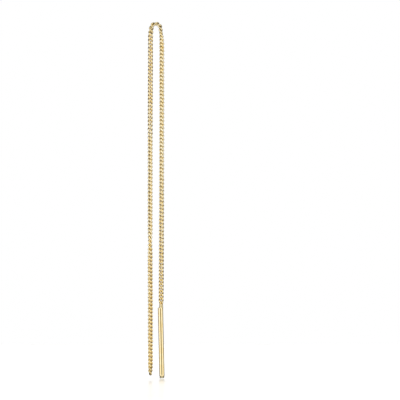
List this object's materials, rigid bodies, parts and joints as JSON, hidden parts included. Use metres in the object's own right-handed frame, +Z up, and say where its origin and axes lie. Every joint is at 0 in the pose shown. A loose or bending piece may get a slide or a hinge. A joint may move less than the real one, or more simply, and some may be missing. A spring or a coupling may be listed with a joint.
{
  "type": "threader earring",
  "caption": "Fine gold curb chain bent over like a narrow upturned U, with a plain free end and a polished round bar on the other end that threads through the ear.",
  "frame": {"origin": "the resting point in the ear, under the top of the chain's bend", "axes": "+Z up along the hanging runs, -Y towards the viewer, free end of the chain at -X and the bar at +X"},
  "size_m": [0.0033, 0.001, 0.0728],
  "materials": {
    "gold_chain": "polished gold plate on fine curb links, softly worn on the outsides of the links",
    "gold_bar": "polished gold plate on a round bar, with faint lengthwise hairlines"
  },
  "bodies": {
    "root": {"chain_free_run": "gold_chain", "chain_bar_run": "gold_chain", "threader_bar": "gold_bar"}
  },
  "joints": []
}
